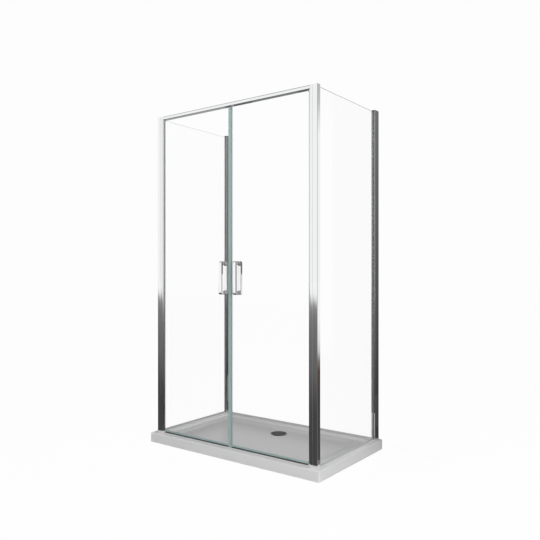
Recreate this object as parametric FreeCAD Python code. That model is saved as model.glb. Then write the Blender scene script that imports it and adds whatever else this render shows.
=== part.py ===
"""Rectangular shower enclosure: tray, fixed side panels and a pair of swing doors.

Millimetres. The origin is the middle of the tray's footprint on the floor. +X runs to the
right along the door front, +Y to the wall behind and +Z up. side is -1 for left, +1 for right.
"""

import FreeCAD
import Part

import math
import os

Vector = FreeCAD.Vector

# Shower tray
tray_length = 1200.0
tray_depth = 700.0
tray_shell = 5.0
tray_corner_radius = 10.0
tray_edge_radius = 5.0
rim_width = 58.0
basin_corner_radius = 50.0
basin_wall_run = 16.0
basin_wall_drop = 13.0
basin_border_run = 66.0
basin_border_drop = 8.0
floor_corner_radius = 100.0
board_thickness = 14.0
pad_height = 15.0
board_inset = 20.0
board_corner_radius = 60.0
pad_radius = 32.0
pad_edge_inset = 20.0
pad_columns = 4
pad_rows = 2

# Waste in the tray floor
waste_to_back = 200.0
waste_recess_depth = 4.0
waste_recess_gap = 4.0
waste_throat_radius = 42.0
waste_flange_width = 10.0
waste_flange_thickness = 2.0
waste_skirt_wall = 2.5
waste_skirt_room = 5.6
waste_thread_gap = 0.1
waste_hole_gap = 0.5
waste_collar_width = 11.5
waste_collar_thickness = 4.0
waste_body_wall = 3.4
waste_seal_thickness = 2.0
waste_floor_gap = 3.0
outlet_radius = 20.0
outlet_wall = 3.0
outlet_length = 13.0
cover_inset = 3.5
cover_rim_thickness = 2.0
cover_crown = 1.5
cover_water_gap = 2.5
cover_foot_radius = 2.5
cover_foot_count = 4
cover_guide_gap = 0.6
cover_guide_wall = 2.0
cover_guide_depth = 6.0

# Glass and where its planes stand on the tray
glass_thickness = 6.0
side_inset = 38.0
door_inset = 41.0
enclosure_height = 1910.0
side_glass_top_gap = 10.0
glazing_gasket = 2.0
glazing_pocket = 14.0

# Corner posts
post_outer_margin = 8.0
post_band = 28.0
post_lip = 15.0
post_depth = 28.0
post_wall = 2.5
post_corner_radius = 4.0
post_crown = 0.3
post_groove_half = 0.8
post_groove_depth = 1.0
post_step = 2.0
foot_height = 12.0
foot_inset = 1.0
foot_plug_height = 8.0
foot_plug_gap = 0.3
cap_thickness = 2.0
cap_plug_depth = 8.0

# Pivot hinges of the doors
stile_radius = 7.0
stile_gap = 0.4
lip_wall = 1.6
lip_to_glass_gap = 1.0
stile_gasket = 1.0
stile_slot_behind_pivot = 3.4
pivot_radius = 3.0
pivot_clearance = 0.05
pivot_length = 8.5
pivot_block_height = 13.0
bush_wall = 1.5
bush_seat_gap = 0.05
bush_flange_inset = 0.5
bush_flange_thickness = 1.0
door_end_play = 0.2
ear_wall = 3.4

# Header rail across the door front
header_height = 20.0
header_wall = 2.0
header_edge_radius = 2.5
bracket_length = 40.0
bracket_lug = 12.0
bracket_gap = 0.2
screw_radius = 1.9
screw_gap = 0.1
screw_head_radius = 3.4
screw_head_height = 2.0
screw_length = 11.0
screw_from_end = 25.0

# Wall channels at the back
channel_width = 24.0
channel_depth = 46.0
channel_wall = 2.0
channel_edge_radius = 1.5
channel_pocket_depth = 26.0
wall_hole_radius = 2.75
wall_hole_end_margin = 100.0

# Seals and threshold
meeting_gap = 0.8
meeting_web = 4.5
meeting_grip = 6.1
seal_leg = 2.0
drip_web = 3.2
drip_grip = 4.0
drip_start = 12.0
drip_clearance = 0.8
drip_fin_height = 8.0
drip_fin_thickness = 2.0
threshold_height = 3.0
threshold_depth = 12.0
threshold_nose = 1.5
threshold_end_gap = 1.0
panel_seal_leg = 1.0
panel_seal_web = 3.0
panel_seal_height = 6.0

# Doors and handles
door_top_gap = 6.0
notch_gap = 1.2
handle_from_centre = 50.5
handle_centre_height = 995.0
handle_height = 184.0
handle_width = 22.0
handle_bar = 14.0
handle_arm = 20.0
handle_reach = 12.0
handle_outer_bend = 10.0
handle_inner_bend = 5.0
handle_edge_radius = 3.0
washer_thickness = 1.0
washer_radius = 9.0
stud_radius = 3.0
stud_gap = 0.1
stud_depth = 10.0
glass_hole_radius = 6.0

# Derived places
board_z = pad_height
floor_z = board_z + board_thickness + tray_shell
rim_z = floor_z + basin_border_drop + basin_wall_drop
top_z = rim_z + enclosure_height
half_length = tray_length / 2
half_depth = tray_depth / 2
half_glass = glass_thickness / 2
floor_half_x = half_length - rim_width - basin_wall_run - basin_border_run
floor_half_y = half_depth - rim_width - basin_wall_run - basin_border_run
board_half_x = floor_half_x - board_inset
board_half_y = floor_half_y - board_inset
panel_x = half_length - side_inset
door_y = -half_depth + door_inset

post_outer_x = panel_x + post_outer_margin
post_width = post_band + post_lip
lip_x = post_outer_x - post_width
pivot_inward = half_glass + lip_to_glass_gap
pivot_x = lip_x - pivot_inward
hollow_radius = stile_radius + stile_gap
pivot_back = lip_wall + hollow_radius
post_front_y = door_y - pivot_back
post_back_y = post_front_y + post_depth
lip_depth = pivot_back + hollow_radius + lip_wall
pocket_half = half_glass + glazing_gasket
foot_top_z = rim_z + foot_height
post_top_z = top_z - cap_thickness

header_bottom_z = top_z - header_height
bush_radius = pivot_radius + pivot_clearance + bush_wall
bush_bore = pivot_radius + pivot_clearance
bush_flange_radius = stile_radius - bush_flange_inset
bush_length = pivot_length
stile_bottom_z = foot_top_z + bush_flange_thickness + door_end_play
stile_top_z = header_bottom_z - bush_flange_thickness - door_end_play
slot_half = half_glass + stile_gasket
slot_nose = math.sqrt(stile_radius ** 2 - slot_half ** 2)

threshold_top_z = rim_z + threshold_height
drip_fin_z = threshold_top_z + drip_clearance
drip_bottom_z = drip_fin_z + drip_fin_height
door_bottom_z = drip_bottom_z + drip_web
door_top_z = header_bottom_z - door_top_gap
glass_edge_x = meeting_gap / 2 + meeting_web
meeting_back_x = glass_edge_x + meeting_grip

channel_front_y = half_depth - channel_depth
waste_y = half_depth - waste_to_back
waste_flange_radius = waste_throat_radius + waste_flange_width
waste_recess_radius = waste_flange_radius + waste_recess_gap
cover_radius = waste_flange_radius - cover_inset
recess_z = floor_z - waste_recess_depth
flange_top_z = recess_z + waste_flange_thickness
skirt_radius = waste_throat_radius + waste_skirt_wall
skirt_bottom_z = waste_floor_gap + waste_body_wall + waste_skirt_room


def box(x0, x1, y0, y1, z0, z1):
    """Block between two corners, in any order along each axis."""
    low = Vector(min(x0, x1), min(y0, y1), min(z0, z1))
    return Part.makeBox(abs(x1 - x0), abs(y1 - y0), abs(z1 - z0), low)


def rod(radius, x, y, z0, z1):
    """Upright cylinder."""
    return Part.makeCylinder(radius, z1 - z0, Vector(x, y, z0))


def ring(outer, inner, x, y, z0, z1):
    """Upright tube."""
    return rod(outer, x, y, z0, z1).cut(rod(inner, x, y, z0, z1))


def crossbar(radius, x, z, y0, y1):
    """Cylinder along Y."""
    return Part.makeCylinder(radius, y1 - y0, Vector(x, y0, z), Vector(0, 1, 0))


def outline(place, start, steps):
    """Closed wire: each step is ("line", end) or ("arc", middle, end) in the section's own plan."""
    edges = []
    here = start
    for step in steps:
        end = step[-1]
        if step[0] == "arc":
            edges.append(Part.Arc(place(*here), place(*step[1]), place(*end)).toShape())
        else:
            edges.append(Part.LineSegment(place(*here), place(*end)).toShape())
        here = end
    return Part.Wire(edges)


def rounded_rectangle(half_x, half_y, radius, z):
    """Closed wire round the origin with round corners."""
    inset = radius * (1 - math.sqrt(0.5))
    flat_x = half_x - radius
    flat_y = half_y - radius
    steps = [
        ("line", (flat_x, -half_y)),
        ("arc", (half_x - inset, -half_y + inset), (half_x, -flat_y)),
        ("line", (half_x, flat_y)),
        ("arc", (half_x - inset, half_y - inset), (flat_x, half_y)),
        ("line", (-flat_x, half_y)),
        ("arc", (-half_x + inset, half_y - inset), (-half_x, flat_y)),
        ("line", (-half_x, -flat_y)),
        ("arc", (-half_x + inset, -half_y + inset), (-flat_x, -half_y)),
    ]
    return outline(lambda x, y: Vector(x, y, z), (-flat_x, -half_y), steps)


def prism(wire, height):
    """Solid standing on a level wire."""
    return Part.Face(wire).extrude(Vector(0, 0, height))


# Shower tray and what carries it


def basin(grow, overshoot):
    """Solid of the tray's hollow, grown outwards and downwards by one wall thickness."""
    wall_x = half_length - rim_width + grow
    wall_y = half_depth - rim_width + grow
    toe_x = wall_x - basin_wall_run
    toe_y = wall_y - basin_wall_run
    toe_z = rim_z - basin_wall_drop - grow
    floor_x = floor_half_x + grow
    floor_y = floor_half_y + grow
    sections = [
        rounded_rectangle(wall_x, wall_y, basin_corner_radius + grow, rim_z + overshoot),
        rounded_rectangle(wall_x, wall_y, basin_corner_radius + grow, rim_z),
        rounded_rectangle(toe_x, toe_y, basin_corner_radius + grow, toe_z),
        rounded_rectangle(floor_x, floor_y, floor_corner_radius + grow, floor_z - grow),
    ]
    return Part.makeLoft(sections, True, True)


def make_tray():
    """Acrylic shell: skirt, rim, sloped border and sunken floor with the waste recess."""
    block = prism(rounded_rectangle(half_length, half_depth, tray_corner_radius, 0), rim_z)
    top_edges = [e for e in block.Edges if all(abs(v.Z - rim_z) < 1e-6 for v in e.Vertexes)]
    block = block.makeFillet(tray_edge_radius, top_edges)
    skirt_corner = tray_corner_radius - tray_shell
    cavity_wire = rounded_rectangle(half_length - tray_shell, half_depth - tray_shell, skirt_corner, 0)
    cavity = prism(cavity_wire, rim_z - tray_shell)
    cavity = cavity.cut(basin(tray_shell, tray_shell))
    boss_radius = waste_recess_radius + tray_shell
    cavity = cavity.cut(rod(boss_radius, 0, waste_y, recess_z - tray_shell, floor_z))
    shell = block.cut(cavity).cut(basin(0, tray_edge_radius))
    shell = shell.cut(rod(waste_recess_radius, 0, waste_y, recess_z, rim_z))
    return shell.cut(rod(skirt_radius + waste_hole_gap, 0, waste_y, 0, rim_z))


def make_board():
    """Stiffening board bonded under the floor, open round the waste."""
    wire = rounded_rectangle(board_half_x, board_half_y, board_corner_radius, board_z)
    hole = waste_recess_radius + tray_shell + waste_hole_gap
    return prism(wire, board_thickness).cut(rod(hole, 0, waste_y, board_z, floor_z))


def make_pads():
    """Support pads between the board and the floor."""
    reach_x = board_half_x - pad_radius - pad_edge_inset
    reach_y = board_half_y - pad_radius - pad_edge_inset
    pads = []
    for column in range(pad_columns):
        for row in range(pad_rows):
            x = reach_x * (2 * column / (pad_columns - 1) - 1)
            y = reach_y * (2 * row / (pad_rows - 1) - 1)
            pads.append(rod(pad_radius, x, y, 0, pad_height))
    return Part.makeCompound(pads)


# Waste


def make_waste_flange():
    """Metal ring in the recess with the threaded skirt that clamps the waste body."""
    plate = ring(waste_flange_radius, waste_throat_radius, 0, waste_y, recess_z, flange_top_z)
    skirt = ring(skirt_radius, waste_throat_radius, 0, waste_y, skirt_bottom_z, flange_top_z)
    return plate.fuse(skirt).removeSplitter()


def collar_radii():
    """Inner and outer radius of the clamped collar under the tray."""
    inner = skirt_radius + waste_thread_gap
    return inner, inner + waste_collar_width


def make_waste_seal():
    """Rubber ring between the tray's underside and the waste body's collar."""
    inner, outer = collar_radii()
    top = recess_z - tray_shell
    return ring(outer, inner, 0, waste_y, top - waste_seal_thickness, top)


def make_waste_body():
    """Plastic cup under the tray with an upright outlet socket in its floor."""
    inner, outer = collar_radii()
    collar_top = recess_z - tray_shell - waste_seal_thickness
    collar = ring(outer, inner, 0, waste_y, collar_top - waste_collar_thickness, collar_top)
    cup = ring(inner + waste_body_wall, inner, 0, waste_y, waste_floor_gap, collar_top)
    plate = rod(inner + waste_body_wall, 0, waste_y, waste_floor_gap, waste_floor_gap + waste_body_wall)
    socket = rod(outlet_radius + outlet_wall, 0, waste_y, waste_floor_gap, waste_floor_gap + outlet_length)
    whole = collar.fuse([cup, plate, socket]).removeSplitter()
    return whole.cut(rod(outlet_radius, 0, waste_y, 0, rim_z))


def make_waste_cover():
    """Crowned lift-off cover on small feet, guided by a short skirt in the throat."""
    under = flange_top_z + cover_water_gap
    rim_top = under + cover_rim_thickness
    sphere_radius = (cover_radius ** 2 + cover_crown ** 2) / (2 * cover_crown)
    ball_centre = Vector(0, waste_y, rim_top + cover_crown - sphere_radius)
    dome = rod(cover_radius, 0, waste_y, under, rim_top + cover_crown)
    cover = dome.common(Part.makeSphere(sphere_radius, ball_centre))
    guide_radius = waste_throat_radius - cover_guide_gap
    guide_bottom = flange_top_z - cover_guide_depth
    guide = ring(guide_radius, guide_radius - cover_guide_wall, 0, waste_y, guide_bottom, under)
    cover = cover.fuse(guide)
    foot_circle = (waste_throat_radius + cover_radius) / 2
    for index in range(cover_foot_count):
        angle = 2 * math.pi * index / cover_foot_count
        x = foot_circle * math.cos(angle)
        y = waste_y + foot_circle * math.sin(angle)
        cover = cover.fuse(rod(cover_foot_radius, x, y, flange_top_z, under))
    return cover.removeSplitter()


# Corner posts


def post_place(side):
    """Maps a post section's plan (inward from the outer face, back from the front) to the part."""
    return lambda inward, back: Vector(side * (post_outer_x - inward), post_front_y + back, 0)


def post_outline(side):
    """Crowned double band in front, round hollow for the door stile, glass pocket behind."""
    corner = post_corner_radius
    corner_inset = corner * (1 - math.sqrt(0.5))
    crown = post_crown
    groove_near = post_band - post_groove_half
    groove_far = post_band + post_groove_half
    hollow_half = math.sqrt(hollow_radius ** 2 - pivot_inward ** 2)
    hollow_floor = post_width + pivot_inward - hollow_radius
    band_back = post_band + post_step
    pocket_floor = post_depth - glazing_pocket
    steps = [
        ("arc", (corner_inset, crown + corner_inset), (corner, crown)),
        ("arc", ((corner + groove_near) / 2, 0), (groove_near, crown)),
        ("line", (post_band, crown + post_groove_depth)),
        ("line", (groove_far, crown)),
        ("arc", ((groove_far + post_width) / 2, 0), (post_width, crown)),
        ("line", (post_width, pivot_back - hollow_half)),
        ("arc", (hollow_floor, pivot_back), (post_width, pivot_back + hollow_half)),
        ("line", (post_width, lip_depth)),
        ("line", (band_back, lip_depth)),
        ("line", (band_back, post_depth)),
        ("line", (post_outer_margin + pocket_half, post_depth)),
        ("line", (post_outer_margin + pocket_half, pocket_floor)),
        ("line", (post_outer_margin - pocket_half, pocket_floor)),
        ("line", (post_outer_margin - pocket_half, post_depth)),
        ("line", (0, post_depth)),
        ("line", (0, crown + corner)),
    ]
    return outline(post_place(side), (0, crown + corner), steps)


def post_chamber(side, gap):
    """Hollow of the extrusion, drawn in by a gap for the plugs that fill it."""
    front = post_crown + post_wall + gap
    left = post_wall + gap
    far = post_width + pivot_inward - hollow_radius - post_wall - gap
    lip_back = lip_depth - post_wall - gap
    band_back = post_band + post_step - post_wall - gap
    rear = post_depth - post_wall - gap
    beside_pocket = post_outer_margin + pocket_half + post_wall + gap
    before_pocket = post_depth - glazing_pocket - post_wall - gap
    steps = [
        ("line", (far, front)),
        ("line", (far, lip_back)),
        ("line", (band_back, lip_back)),
        ("line", (band_back, rear)),
        ("line", (beside_pocket, rear)),
        ("line", (beside_pocket, before_pocket)),
        ("line", (left, before_pocket)),
        ("line", (left, front)),
    ]
    return outline(post_place(side), (left, front), steps)


def raised(shape, z):
    """Copy of a shape lifted to a height."""
    lifted = shape.copy()
    lifted.translate(Vector(0, 0, z))
    return lifted


def lug_window():
    """Inward and back limits of the header bracket's lug inside the post."""
    near = post_width - bracket_lug
    return near, lip_wall + post_wall, lip_depth - post_wall


def make_post(side):
    """Corner post extrusion with the window that takes the header bracket's lug."""
    length = post_top_z - foot_top_z
    body = raised(prism(post_outline(side), length), foot_top_z)
    body = body.cut(raised(prism(post_chamber(side, 0), length), foot_top_z))
    near, front, back = lug_window()
    x0 = side * (post_outer_x - near + bracket_gap)
    x1 = side * lip_x
    y0 = post_front_y + front - bracket_gap
    y1 = post_front_y + back + bracket_gap
    body = body.cut(box(x0, x1, y0, y1, header_bottom_z + header_wall, post_top_z))
    return body.cut(lug_screw(side, screw_gap))


def make_foot(side):
    """Plastic foot under the post, with an ear that carries the lower pivot bush."""
    place = post_place(side)
    start = (foot_inset, foot_inset + post_crown)
    steps = [
        ("line", (post_width - foot_inset, foot_inset + post_crown)),
        ("line", (post_width - foot_inset, lip_depth - foot_inset)),
        ("line", (post_band + post_step - foot_inset, lip_depth - foot_inset)),
        ("line", (post_band + post_step - foot_inset, post_depth - foot_inset)),
        ("line", (foot_inset, post_depth - foot_inset)),
        ("line", start),
    ]
    foot = raised(prism(outline(place, start, steps), foot_height), rim_z)
    plug = raised(prism(post_chamber(side, foot_plug_gap), foot_plug_height), foot_top_z)
    ear_radius = bush_radius + bush_seat_gap + ear_wall
    ear = rod(ear_radius, side * pivot_x, door_y, rim_z, foot_top_z)
    neck_x0 = side * pivot_x
    neck_x1 = side * (lip_x + foot_inset + post_wall)
    neck = box(neck_x0, neck_x1, door_y - ear_radius, door_y + ear_radius, rim_z, foot_top_z)
    foot = foot.fuse([plug, ear, neck]).removeSplitter()
    seat_z = foot_top_z - bush_length
    foot = foot.cut(rod(bush_radius + bush_seat_gap, side * pivot_x, door_y, seat_z, foot_top_z))
    x = side * panel_x
    front = post_back_y - glazing_pocket
    sill = rim_z + panel_seal_web
    return foot.cut(box(x - pocket_half, x + pocket_half, front, post_back_y, sill, foot_top_z))


def make_post_cap(side):
    """Cap over the post's open top, with a plug in the front chamber."""
    cap = raised(prism(post_outline(side), cap_thickness), post_top_z)
    x0 = side * (post_outer_x - post_wall - foot_plug_gap)
    x1 = side * (post_outer_x - post_outer_margin - pocket_half)
    y0 = post_front_y + post_crown + post_wall + foot_plug_gap
    y1 = post_front_y + post_depth - glazing_pocket - post_wall - foot_plug_gap
    return cap.fuse(box(x0, x1, y0, y1, post_top_z - cap_plug_depth, post_top_z)).removeSplitter()


# Header rail and its brackets


def make_header():
    """Hollow rail between the posts, flush with their fronts and tops."""
    half_y = post_depth / 2
    half_z = header_height / 2
    middle = Vector(-lip_x, post_front_y + half_y, header_bottom_z + half_z)
    turn = FreeCAD.Rotation(Vector(0, 1, 0), 90).multiply(FreeCAD.Rotation(Vector(0, 0, 1), 90))
    placement = FreeCAD.Placement(middle, turn)
    tube = prism(rounded_rectangle(half_y, half_z, header_edge_radius, 0), 2 * lip_x)
    tube.Placement = placement
    rail = tube.cut(
        box(
            -lip_x,
            lip_x,
            post_front_y + header_wall,
            post_back_y - header_wall,
            header_bottom_z + header_wall,
            top_z - header_wall,
        )
    )
    for side in (-1, 1):
        hole_top = header_bottom_z + header_wall
        rail = rail.cut(rod(bush_radius + bush_seat_gap, side * pivot_x, door_y, header_bottom_z, hole_top))
        rail = rail.cut(rail_screw(side, screw_gap))
    return rail


def make_bracket(side):
    """Corner block: fills the header's end, holds the upper bush and reaches into the post."""
    bottom = header_bottom_z + header_wall
    block = box(
        side * (lip_x - bracket_length),
        side * lip_x,
        post_front_y + header_wall + bracket_gap,
        post_back_y - header_wall - bracket_gap,
        bottom,
        top_z - header_wall,
    )
    near, front, back = lug_window()
    lug = box(
        side * lip_x,
        side * (post_outer_x - near),
        post_front_y + front,
        post_front_y + back,
        bottom,
        post_top_z,
    )
    block = block.fuse(lug).removeSplitter()
    bore_top = header_bottom_z + bush_length
    block = block.cut(rod(bush_radius + bush_seat_gap, side * pivot_x, door_y, bottom, bore_top))
    return block.cut(rail_screw(side, screw_gap)).cut(lug_screw(side, screw_gap))


def rail_screw(side, grow):
    """Countersunk screw through the header's top into the bracket."""
    x = side * (lip_x - screw_from_end)
    y = post_front_y + post_depth / 2
    shank = rod(screw_radius + grow, x, y, top_z - screw_length - grow, top_z)
    base = Vector(x, y, top_z - header_wall)
    head = Part.makeCone(screw_radius + grow, screw_head_radius + grow, header_wall, base)
    return shank.fuse(head).removeSplitter()


def lug_screw(side, grow):
    """Pan-head screw through the post's inner wall into the bracket's lug."""
    x = side * (lip_x + bracket_lug / 2)
    z = header_bottom_z + header_height / 2
    seat = post_front_y + lip_depth
    shank = crossbar(screw_radius + grow, x, z, seat - screw_length - grow, seat)
    head = crossbar(screw_head_radius + grow, x, z, seat, seat + screw_head_height)
    return shank.fuse(head).removeSplitter()


def make_bracket_screws():
    """All screws of the header joints."""
    screws = []
    for side in (-1, 1):
        screws.append(rail_screw(side, 0))
        screws.append(lug_screw(side, 0))
    return Part.makeCompound(screws)


# Pivot bushes


def bush(side, seat_z, direction):
    """Flanged bush; direction is -1 into the foot below and +1 into the header above."""
    x = side * pivot_x
    tip = seat_z + direction * bush_length
    lip = seat_z - direction * bush_flange_thickness
    sleeve = rod(bush_radius, x, door_y, min(seat_z, tip), max(seat_z, tip))
    flange = rod(bush_flange_radius, x, door_y, min(seat_z, lip), max(seat_z, lip))
    bore = rod(bush_bore, x, door_y, min(tip, lip), max(tip, lip))
    return sleeve.fuse(flange).removeSplitter().cut(bore)


def make_lower_bushes():
    """Bushes in the post feet."""
    return Part.makeCompound([bush(side, foot_top_z, -1) for side in (-1, 1)])


def make_upper_bushes():
    """Bushes in the header brackets."""
    return Part.makeCompound([bush(side, header_bottom_z, 1) for side in (-1, 1)])


# Side panels


def make_channel(side):
    """Wall channel: glass pocket in front, screw chamber behind, holes in the back web."""
    half = channel_width / 2
    edge = channel_edge_radius
    inset = edge * (1 - math.sqrt(0.5))
    front = channel_front_y
    pocket_back = front + channel_pocket_depth
    web = half_depth - channel_wall
    chamber = half - channel_wall
    steps = [
        ("line", (-half, front + edge)),
        ("arc", (-half + inset, front + inset), (-half + edge, front)),
        ("line", (-pocket_half, front)),
        ("line", (-pocket_half, pocket_back)),
        ("line", (-chamber, pocket_back)),
        ("line", (-chamber, web)),
        ("line", (chamber, web)),
        ("line", (chamber, pocket_back)),
        ("line", (pocket_half, pocket_back)),
        ("line", (pocket_half, front)),
        ("line", (half - edge, front)),
        ("arc", (half - inset, front + inset), (half, front + edge)),
        ("line", (half, half_depth)),
        ("line", (-half, half_depth)),
    ]
    wire = outline(lambda x, y: Vector(side * panel_x + x, y, rim_z), (-half, half_depth), steps)
    channel = prism(wire, post_top_z - rim_z)
    for z in wall_hole_heights():
        channel = channel.cut(crossbar(wall_hole_radius, side * panel_x, z, web, half_depth))
    return channel


def wall_hole_heights():
    """Heights of the wall screw holes: bottom, middle and top."""
    low = rim_z + wall_hole_end_margin
    high = post_top_z - wall_hole_end_margin
    return low, (low + high) / 2, high


def make_channel_caps():
    """Flat caps on the two wall channels, with plugs in their screw chambers."""
    caps = []
    for side in (-1, 1):
        x = side * panel_x
        half = channel_width / 2
        plug_half = half - channel_wall - foot_plug_gap
        plug_y0 = channel_front_y + channel_pocket_depth + foot_plug_gap
        plug_y1 = half_depth - channel_wall - foot_plug_gap
        plate = box(x - half, x + half, channel_front_y, half_depth, post_top_z, top_z)
        plug = box(x - plug_half, x + plug_half, plug_y0, plug_y1, post_top_z - cap_plug_depth, post_top_z)
        caps.append(plate.fuse(plug).removeSplitter())
    return Part.makeCompound(caps)


def panel_limits():
    """Front and back edge of the side glass, its lower edge and its upper edge."""
    front = post_back_y - glazing_pocket + glazing_gasket
    back = channel_front_y + channel_pocket_depth - glazing_gasket
    return front, back, rim_z + panel_seal_web, top_z - side_glass_top_gap


def make_side_glass(side):
    """Fixed side pane."""
    front, back, low, high = panel_limits()
    x = side * panel_x
    return box(x - half_glass, x + half_glass, front, back, low, high)


def make_post_gasket(side):
    """Gasket round the pane's front edge in the post's pocket."""
    front, _, _, high = panel_limits()
    x = side * panel_x
    strip = box(x - pocket_half, x + pocket_half, front - glazing_gasket, post_back_y, foot_top_z, high)
    return strip.cut(box(x - half_glass, x + half_glass, front, post_back_y, foot_top_z, high))


def make_channel_gasket(side):
    """Gasket round the pane's back edge in the wall channel."""
    _, back, low, high = panel_limits()
    x = side * panel_x
    strip = box(x - pocket_half, x + pocket_half, channel_front_y, back + glazing_gasket, low, high)
    return strip.cut(box(x - half_glass, x + half_glass, channel_front_y, back, low, high))


def make_panel_seal(side):
    """Clear strip under the side pane, on the tray's rim."""
    low = rim_z + panel_seal_web
    x = side * panel_x
    half = half_glass + panel_seal_leg
    strip = box(x - half, x + half, post_back_y, channel_front_y, rim_z, rim_z + panel_seal_height)
    groove = box(x - half_glass, x + half_glass, post_back_y, channel_front_y, low, rim_z + panel_seal_height)
    return strip.cut(groove)


def make_threshold():
    """Low strip on the front rim under the doors."""
    ear_radius = bush_radius + bush_seat_gap + ear_wall
    end = pivot_x - ear_radius - threshold_end_gap
    front = door_y - threshold_depth / 2
    back = door_y + threshold_depth / 2
    steps = [
        ("line", (front, threshold_top_z - threshold_nose)),
        ("line", (front + threshold_nose, threshold_top_z)),
        ("line", (back - threshold_nose, threshold_top_z)),
        ("line", (back, threshold_top_z - threshold_nose)),
        ("line", (back, rim_z)),
        ("line", (front, rim_z)),
    ]
    wire = outline(lambda y, z: Vector(-end, y, z), (front, rim_z), steps)
    return Part.Face(wire).extrude(Vector(2 * end, 0, 0))


# Doors: distances from the pivot run towards the middle of the front


def door_box(side, near, far, half_width, z0, z1):
    """Block in the door's plane, between two distances from the pivot."""
    x0 = side * (pivot_x - near)
    x1 = side * (pivot_x - far)
    return box(x0, x1, door_y - half_width, door_y + half_width, z0, z1)


def glass_reach():
    """Distances from the pivot of the pane's hinge edge and free edge."""
    return stile_gasket - stile_slot_behind_pivot, pivot_x - glass_edge_x


def pivot_block_limits():
    """Top of the lower pivot block and bottom of the upper one."""
    return stile_bottom_z + pivot_block_height, stile_top_z - pivot_block_height


def stud_heights():
    """Heights of a handle's two fixing studs."""
    offset = (handle_height - handle_arm) / 2
    return handle_centre_height - offset, handle_centre_height + offset


def make_door_glass(side):
    """Door pane, notched at the pivots and bored for the handle."""
    hinge_edge, free_edge = glass_reach()
    pane = door_box(side, hinge_edge, free_edge, half_glass, door_bottom_z, door_top_z)
    low, high = pivot_block_limits()
    notch = stile_radius + notch_gap
    pane = pane.cut(door_box(side, hinge_edge, notch, half_glass, door_bottom_z, low + notch_gap))
    pane = pane.cut(door_box(side, hinge_edge, notch, half_glass, high - notch_gap, door_top_z))
    x = side * handle_from_centre
    for z in stud_heights():
        pane = pane.cut(crossbar(glass_hole_radius, x, z, door_y - half_glass, door_y + half_glass))
    return pane


def make_stile(side):
    """Round hinge stile, slotted for the pane."""
    stile = rod(stile_radius, side * pivot_x, door_y, stile_bottom_z, stile_top_z)
    slot = door_box(side, -stile_slot_behind_pivot, stile_radius, slot_half, stile_bottom_z, stile_top_z)
    return stile.cut(slot)


def make_stile_gasket(side):
    """Gasket round the pane's hinge edge in the stile's slot."""
    hinge_edge, _ = glass_reach()
    low, high = pivot_block_limits()
    z0 = low + notch_gap
    z1 = high - notch_gap
    strip = door_box(side, -stile_slot_behind_pivot, slot_nose, slot_half, z0, z1)
    return strip.cut(door_box(side, hinge_edge, slot_nose, half_glass, z0, z1))


def make_pivots(side):
    """Pivot blocks in the stile's two ends, each with its pin."""
    low, high = pivot_block_limits()
    x = side * pivot_x
    lower = door_box(side, -stile_slot_behind_pivot, slot_nose, slot_half, stile_bottom_z, low)
    lower_pin = rod(pivot_radius, x, door_y, stile_bottom_z - pivot_length, stile_bottom_z)
    upper = door_box(side, -stile_slot_behind_pivot, slot_nose, slot_half, high, stile_top_z)
    upper_pin = rod(pivot_radius, x, door_y, stile_top_z, stile_top_z + pivot_length)
    return Part.makeCompound([lower.fuse(lower_pin), upper.fuse(upper_pin)])


def make_meeting_seal(side):
    """Translucent magnetic strip on the pane's free edge."""
    near = pivot_x - meeting_back_x
    far = pivot_x - meeting_gap / 2
    _, free_edge = glass_reach()
    strip = door_box(side, near, far, half_glass + seal_leg, door_bottom_z, door_top_z)
    return strip.cut(door_box(side, near, free_edge, half_glass, door_bottom_z, door_top_z))


def make_drip_seal(side):
    """Translucent strip clipped on the pane's lower edge, with a wiping fin below."""
    far = pivot_x - meeting_back_x
    top = door_bottom_z + drip_grip
    strip = door_box(side, drip_start, far, half_glass + seal_leg, drip_bottom_z, top)
    strip = strip.cut(door_box(side, drip_start, far, half_glass, door_bottom_z, top))
    fin = door_box(side, drip_start, far, drip_fin_thickness / 2, drip_fin_z, drip_bottom_z)
    return strip.fuse(fin).removeSplitter()


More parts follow.
